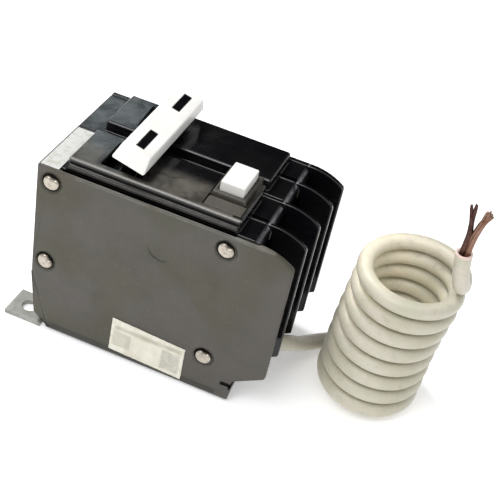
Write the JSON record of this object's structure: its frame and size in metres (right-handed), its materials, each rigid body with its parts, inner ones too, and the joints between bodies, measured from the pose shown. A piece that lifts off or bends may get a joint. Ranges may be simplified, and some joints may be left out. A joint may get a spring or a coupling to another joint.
{
  "type": "ground-fault circuit breaker",
  "caption": "Bolt-on ground-fault circuit breaker with tied handles, a test button, box lugs and a coiled neutral lead in a riveted moulded case.",
  "frame": {"origin": "centre of the footprint of the case and its bolt-on tabs, on the plane of the mounting back", "axes": "+X from the line end to the load end, +Y from the near pole to the far pole, +Z out of the mounting back toward the handles"},
  "size_m": [0.1323, 0.0518, 0.0832],
  "materials": {
    "olive_grey_phenolic": "satin moulded phenolic",
    "black_phenolic": "moulded phenolic",
    "white_nylon": "smooth moulded nylon",
    "plated_steel": "zinc plated",
    "blued_steel": "dark oxide",
    "tinned_copper": "tin plated",
    "bare_copper": "bright copper",
    "contact_silver": "silver alloy",
    "vulcanised_fibre": "grey-brown fibre",
    "board_green": "solder mask",
    "core_blue": "wound core in blue tape",
    "absorber_orange": "dipped disc",
    "can_aluminium": "drawn can",
    "cream_insulation": "extruded insulation",
    "label_paper": "blank label stock"
  },
  "bodies": {
    "breaker_body": {"near_side_cover": "olive_grey_phenolic", "far_side_cover": "black_phenolic", "centre_partition": "black_phenolic", "pole_case_a": "black_phenolic", "pole_case_b": "black_phenolic", "rivet_1": "plated_steel", "rivet_2": "plated_steel", "rivet_3": "plated_steel", "rivet_4": "plated_steel", "handle_pin_a": "plated_steel", "handle_pin_b": "plated_steel", "mechanism_frame_a": "plated_steel", "mechanism_frame_b": "plated_steel", "fixed_contact_a": "contact_silver", "fixed_contact_b": "contact_silver", "line_terminal_a": "tinned_copper", "line_terminal_b": "tinned_copper", "magnet_yoke_a": "blued_steel", "magnet_yoke_b": "blued_steel", "bimetal_a": "bare_copper", "bimetal_b": "bare_copper", "arc_chute_a": "vulcanised_fibre", "arc_chute_b": "vulcanised_fibre", "load_strap_a": "bare_copper", "load_strap_b": "bare_copper", "load_lug_a": "tinned_copper", "load_lug_b": "tinned_copper", "neutral_lug": "tinned_copper", "circuit_board": "board_green", "sensor_core": "core_blue", "solenoid": "bare_copper", "capacitor": "can_aluminium", "surge_absorber": "absorber_orange", "test_button_housing": "olive_grey_phenolic", "test_contact": "contact_silver", "test_button_spring": "plated_steel", "pigtail_wire": "cream_insulation", "pigtail_strands_1": "bare_copper", "pigtail_strands_2": "bare_copper", "side_label": "label_paper", "line_end_sticker": "label_paper"},
    "handles": {"handle_a": "black_phenolic", "handle_b": "black_phenolic", "handle_tie": "white_nylon"},
    "trip_bar": {"trip_bar": "black_phenolic"},
    "plunger": {"plunger": "plated_steel"},
    "test_button": {"test_button": "white_nylon"},
    "lug_screw_a": {"lug_screw_a": "plated_steel"},
    "lug_screw_b": {"lug_screw_b": "plated_steel"},
    "neutral_screw": {"neutral_screw": "plated_steel"},
    "contact_arm_a": {"contact_arm_a": "bare_copper", "moving_contact_a": "contact_silver"},
    "cradle_a": {"cradle_a": "blued_steel", "toggle_spring_a": "plated_steel"},
    "armature_a": {"armature_a": "blued_steel"},
    "contact_arm_b": {"contact_arm_b": "bare_copper", "moving_contact_b": "contact_silver"},
    "cradle_b": {"cradle_b": "blued_steel", "toggle_spring_b": "plated_steel"},
    "armature_b": {"armature_b": "blued_steel"}
  },
  "joints": [
    {"name": "handle_swing", "type": "hinge", "parent": "breaker_body", "child": "handles", "pos_m": [-0.01435, 0, 0.0527], "axis": [0, -1, 0], "range_deg": [0, 30]},
    {"name": "contact_arm_a_close", "type": "hinge", "parent": "breaker_body", "child": "contact_arm_a", "pos_m": [-0.00395, -0.0127, 0.044], "axis": [0, -1, 0], "range_deg": [0, 20]},
    {"name": "cradle_a_drop", "type": "hinge", "parent": "breaker_body", "child": "cradle_a", "pos_m": [0.00105, -0.0127, 0.051], "axis": [0, 1, 0], "range_deg": [0, 18]},
    {"name": "armature_a_pull", "type": "hinge", "parent": "breaker_body", "child": "armature_a", "pos_m": [0.01575, -0.0127, 0.0235], "axis": [0, 1, 0], "range_deg": [0, 4]},
    {"name": "contact_arm_b_close", "type": "hinge", "parent": "breaker_body", "child": "contact_arm_b", "pos_m": [-0.00395, 0.0127, 0.044], "axis": [0, -1, 0], "range_deg": [0, 20]},
    {"name": "cradle_b_drop", "type": "hinge", "parent": "breaker_body", "child": "cradle_b", "pos_m": [0.00105, 0.0127, 0.051], "axis": [0, 1, 0], "range_deg": [0, 18]},
    {"name": "armature_b_pull", "type": "hinge", "parent": "breaker_body", "child": "armature_b", "pos_m": [0.01575, 0.0127, 0.0235], "axis": [0, 1, 0], "range_deg": [0, 4]},
    {"name": "trip_bar_turn", "type": "hinge", "parent": "breaker_body", "child": "trip_bar", "pos_m": [0.01005, 0, 0.0255], "axis": [0, 1, 0], "range_deg": [0, 14]},
    {"name": "plunger_pull", "type": "slide", "parent": "breaker_body", "child": "plunger", "axis": [-1, 0, 0], "range_m": [0, 0.003], "stiffness_N_per_m": 60},
    {"name": "test_button_press", "type": "slide", "parent": "breaker_body", "child": "test_button", "axis": [0, 0, -1], "range_m": [0, 0.0013], "stiffness_N_per_m": 800, "springref_m": -0.0005, "deforming": ["test_button_spring"]},
    {"name": "lug_screw_a_turn", "type": "hinge", "parent": "breaker_body", "child": "lug_screw_a", "pos_m": [0.03405, -0.0181, 0.0376], "axis": [0, 0, 1], "continuous": true},
    {"name": "lug_screw_b_turn", "type": "hinge", "parent": "breaker_body", "child": "lug_screw_b", "pos_m": [0.03405, 0.0181, 0.0376], "axis": [0, 0, 1], "continuous": true},
    {"name": "neutral_screw_turn", "type": "hinge", "parent": "breaker_body", "child": "neutral_screw", "pos_m": [0.03405, 0.0068, 0.0376], "axis": [0, 0, 1], "continuous": true}
  ],
  "couplings": [
    {"joint": "contact_arm_a_close", "follows": "handle_swing", "ratio": 0.66666},
    {"joint": "contact_arm_b_close", "follows": "handle_swing", "ratio": 0.66666},
    {"joint": "cradle_b_drop", "follows": "cradle_a_drop", "ratio": 1},
    {"joint": "armature_b_pull", "follows": "armature_a_pull", "ratio": 1},
    {"joint": "trip_bar_turn", "follows": "armature_a_pull", "ratio": 3.5}
  ]
}
